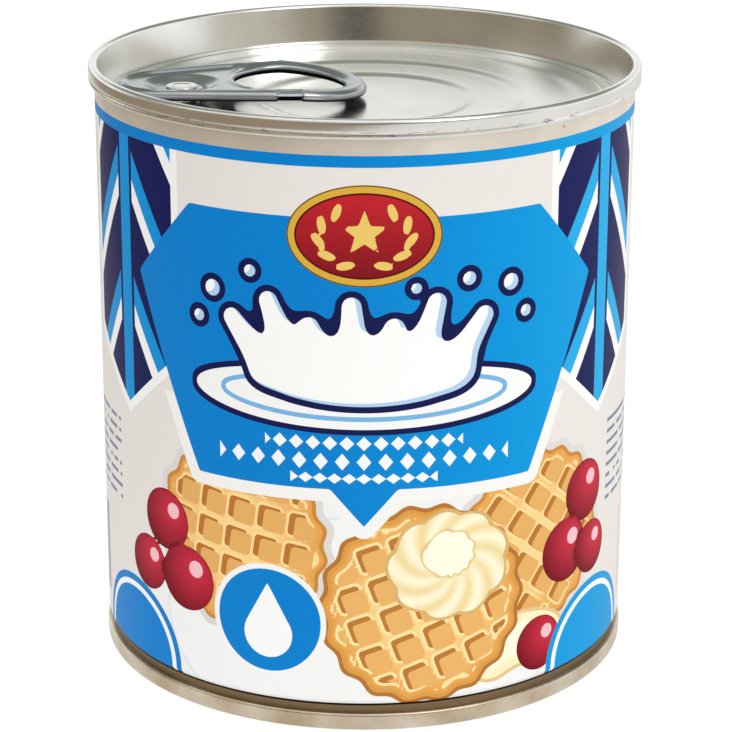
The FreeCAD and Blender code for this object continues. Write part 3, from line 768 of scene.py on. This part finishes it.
def makeTin(name, low, high, roughness, groove=None):
    # rolled tinplate: bright metal with a fine grain and clouds of wear 8 mm across
    material, tree = newMaterial(name)
    add = partial(addNode, tree)
    place = add("TexCoord", None, "Object")
    cloud = add("TexNoise", {"Vector": place, "Scale": 120.0, "Detail": 5.0}, "Fac")
    tone = paint(tree, low, [(add("MapRange", {0: cloud, 1: 0.35, 2: 0.65}, 0), high)])
    if groove:
        # brown dashes of dirt held in the groove at this height, 1 to 3 mm long, lying round the can
        split = add("SeparateXYZ", {0: place})
        angle = add("Math", {0: split.outputs[1], 1: split.outputs[0]}, 0, operation="ARCTAN2")
        along = add("Math", {0: angle, 1: 16.0}, 0, operation="MULTIPLY")
        rise = add("Math", {0: split.outputs[2], 1: 2600.0}, 0, operation="MULTIPLY")
        ring = add("CombineXYZ", {0: along, 2: rise}, 0)
        speck = add("TexNoise", {"Vector": ring, "Scale": 1.0, "Detail": 4.0, "Roughness": 0.65}, "Fac")
        near = add("Math", {0: split.outputs[2], 1: groove * mm, 2: 0.35 * mm}, 0, operation="COMPARE")
        flat = add("VectorMath", {0: place, 1: (1, 1, 0)}, 0, operation="MULTIPLY")
        outside = within(tree, add("VectorMath", {0: flat}, 1, operation="LENGTH"), 36.8 * mm)
        show = add("MapRange", {0: speck, 1: 0.56, 2: 0.66}, 0)
        tone = paint(tree, tone, [(product(tree, show, near, outside), "#8A7458")])
    # only the tab has this: painted shade, near black and without shine, on the inside of its curled edge, its
    # underside, the notches and the slit round the rivet
    inside = add("Attribute", None, "Fac", attribute_name="paintedShade")
    tone = paint(tree, tone, [(inside, "#0E0E11")])
    grain = add("TexNoise", {"Vector": place, "Scale": 2500.0, "Detail": 2.0}, "Fac")
    wave = add("TexNoise", {"Vector": place, "Scale": 90.0, "Detail": 3.0}, "Fac")
    shader = add("BsdfPrincipled", {
        "Base Color": tone, "Metallic": add("Math", {0: 1.0, 1: inside}, 0, operation="SUBTRACT"),
        "Roughness": add("MapRange", {0: grain, 1: 0.3, 2: 0.7, 3: roughness - 0.015, 4: roughness + 0.02}, 0),
        "Specular IOR Level": 0.0,
        "Normal": add("Bump", {"Height": wave, "Strength": 0.1, "Distance": 0.0002}, 0)}, 0)
    add("OutputMaterial", {0: shader})
    return material


finishes = {"printedBody": makePrintedTinplate(),
            "lid": makeTin("electro tinplate, lid", "#EDEDEB", "#F8F8F6", 0.21, groove=81.05),
            "basePlate": makeTin("electro tinplate, base", "#C9B598", "#EEE4D3", 0.28),
            "pullTab": makeTin("tin-coated steel, tab", "#B4B9C1", "#C4C8CF", 0.22)}
for piece, node, slotName in ((canShell, "can_body", "printed_body"), (lidPiece, "top_end", "lid_tinplate"),
                              (basePiece, "bottom_end", "base_tinplate"), (tabPiece, "pull_tab", "tab_steel")):
    piece.data.materials.append(finishes[piece.name])
    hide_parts(node)
    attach(piece, "root")
print("materials")


# Studio: a white sweep, a bright room behind and to the right, a dim one at the near left.
studio = {
    "cameraBack": 0.3600, "cameraHeight": 0.1602, "pitch": 18.67, "yaw": 0.04, "roll": 0.14, "lens": 132.8,
    "ambient": 1.0, "keyEnergy": 1.6, "keyPlace": (0.55, -0.62, 0.75), "keySize": 0.5,
    "wall": "#FBFBF9", "greyBand": "#868C7E", "nearWall": "#BEBAAD", "dimZone": "#887C65", "darkShape": "#1A120D",
    "paper": "#DCDAD6", "table": "#897963", "paperDiffuse": 0.24, "paperGlow": 0.84,
}


def softMask(tree, *edges):
    # soft edges multiplied: each (value, low, high) eases from 0 at low to 1 at high
    return product(tree, *[addNode(tree, "MapRange", {0: value, 1: low, 2: high}, 0, interpolation_type="SMOOTHSTEP")
                           for value, low, high in edges])


def makeRoom():
    world = bpy.data.worlds.new("room")
    bpy.context.scene.world = world
    world.use_nodes = True
    tree = world.node_tree
    tree.nodes.clear()
    add = partial(addNode, tree)
    way = add("TexCoord", None, "Generated")
    split = add("SeparateXYZ", {0: way})
    back, up = split.outputs[1], split.outputs[2]
    nearLeft, facing = [add("VectorMath", {0: way, 1: Vector(aim).normalized()}, 1, operation="DOT_PRODUCT")
                        for aim in ((-0.60, -0.80, 0.0), (0.07, -1.0, 0.05))]
    # what metal mirrors is white, but for a grey band high behind, a duller near wall, a dim brown zone
    # low at the near left and a dark upright shape straight in front
    seen = paint(tree, studio["wall"], [
        (softMask(tree, (up, 0.31, 0.42), (up, 0.98, 0.88), (back, -0.15, 0.2)), studio["greyBand"]),
        (softMask(tree, (up, 0.90, 0.55), (back, -0.1, -0.4)), studio["nearWall"]),
        (softMask(tree, (up, 0.42, 0.24), (up, -0.04, 0.02), (nearLeft, 0.05, 0.5)), studio["dimZone"]),
        (softMask(tree, (facing, 0.955, 0.99)), studio["darkShape"])])
    path = add("LightPath")
    gloss = add("Math", {0: path.outputs["Is Glossy Ray"], 1: path.outputs["Is Transmission Ray"]}, 0,
                operation="MAXIMUM")
    even = (studio["ambient"],) * 3 + (1,)
    light = paint(tree, even, [(gloss, seen), (path.outputs["Is Camera Ray"], (1, 1, 1, 1))])
    add("OutputWorld", {0: add("Background", {0: light, 1: 1.0}, 0)})


def makeFloor():
    # a sheet of white paper lit from below as well, so that only the can's own shade shows on it
    mesh = bpy.data.meshes.new("floor")
    mesh.from_pydata([(-3, -3, 0), (3, -3, 0), (3, 3, 0), (-3, 3, 0)], [], [(0, 1, 2, 3)])
    floor = bpy.data.objects.new("floor", mesh)
    bpy.context.scene.collection.objects.link(floor)
    material, tree = newMaterial("white paper sweep")
    add = partial(addNode, tree)
    # metal mirrors the paper a little grey, and past its near left edge a dim table, which tints other
    # light half as much; the lens sees white all over
    place = add("TexCoord", None, "Object")
    away = add("VectorMath", {0: place, 1: (-1.0, -0.3, 0)}, 1, operation="DOT_PRODUCT")
    path = add("LightPath")
    gloss = path.outputs["Is Glossy Ray"]
    share = add("Mix", {0: gloss, 2: 0.5, 3: 1.0}, 0)
    share = add("Mix", {0: path.outputs["Is Camera Ray"], 2: share, 3: 0.0}, 0)
    dim = product(tree, softMask(tree, (away, 0.04, 0.24)), share)
    tint = paint(tree, (1, 1, 1, 1), [(gloss, studio["paper"]), (dim, studio["table"])])
    shaded = add("VectorMath", {0: tint, 1: (studio["paperDiffuse"],) * 3}, 0, operation="MULTIPLY")
    paper = add("BsdfDiffuse", {0: shaded}, 0)
    glow = add("Emission", {0: tint, 1: studio["paperGlow"]}, 0)
    add("OutputMaterial", {0: add("AddShader", {0: paper, 1: glow}, 0)})
    mesh.materials.append(material)


def makeLamp(name, place, aim, size, energy):
    # a square soft box turned to face a point
    lamp = bpy.data.lights.new(name, "AREA")
    lamp.size, lamp.energy = size, energy
    holder = bpy.data.objects.new(name, lamp)
    holder.location = place
    holder.rotation_euler = (Vector(aim) - Vector(place)).to_track_quat("-Z", "Y").to_euler()
    bpy.context.scene.collection.objects.link(holder)


def makeCamera():
    # a long lens in front of the can, pitched down at it
    lens = bpy.data.cameras.new("camera")
    lens.lens, lens.sensor_width, lens.clip_start = studio["lens"], 36.0, 0.01
    camera = bpy.data.objects.new("camera", lens)
    camera.location = (0, -studio["cameraBack"], studio["cameraHeight"])
    yaw = Matrix.Rotation(math.radians(-studio["yaw"]), 3, "Z")
    pitch = Matrix.Rotation(math.radians(90 - studio["pitch"]), 3, "X")
    roll = Matrix.Rotation(math.radians(studio["roll"]), 3, "Z")
    camera.rotation_euler = (yaw @ pitch @ roll).to_euler()
    bpy.context.scene.collection.objects.link(camera)
    bpy.context.scene.camera = camera


makeRoom()
makeFloor()
makeLamp("key", studio["keyPlace"], (0, 0, 0.04), studio["keySize"], studio["keyEnergy"])
makeCamera()
bpy.context.scene.view_settings.view_transform = "Standard"
print("studio")
